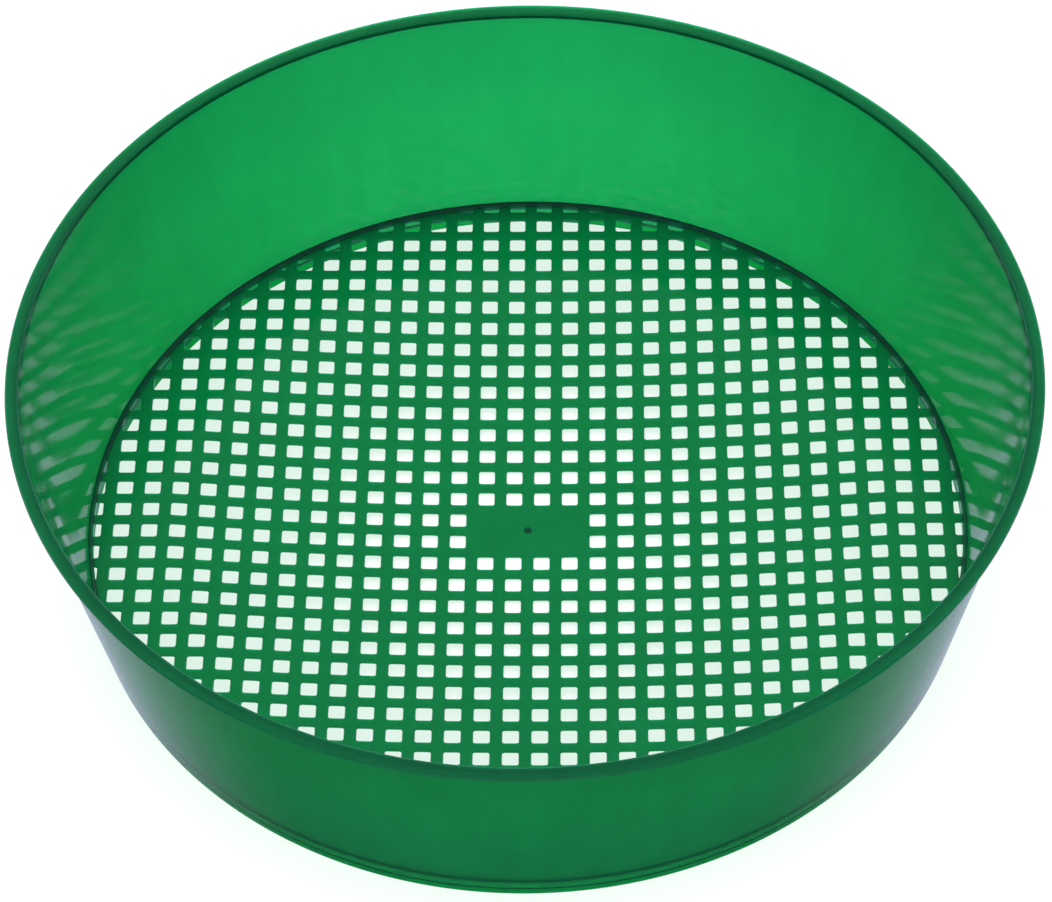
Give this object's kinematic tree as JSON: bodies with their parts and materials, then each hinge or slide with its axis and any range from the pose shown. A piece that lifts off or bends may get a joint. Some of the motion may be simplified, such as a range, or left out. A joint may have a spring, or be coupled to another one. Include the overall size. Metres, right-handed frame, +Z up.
{
  "type": "soil sieve",
  "caption": "Round tapered plastic soil sieve with a turned-out rim lip, a thin foot lip and a dished floor of crossing bars around a solid middle plate.",
  "frame": {"origin": "middle of the foot, on the plane that the sieve stands on", "axes": "+Z up, through the middle of the mouth; +Y away from the user, along the lengthwise bars; +X to the right, along the crosswise bars and the middle plate's long side"},
  "size_m": [0.376, 0.376, 0.0982],
  "materials": {
    "green_plastic": "moulded translucent green polypropylene, semi-gloss"
  },
  "bodies": {
    "root": {"rim_lip": "green_plastic", "side_wall": "green_plastic", "foot_lip": "green_plastic", "lengthwise_bars": "green_plastic", "crosswise_bars": "green_plastic", "centre_plate": "green_plastic", "gate_stub": "green_plastic"}
  },
  "joints": []
}
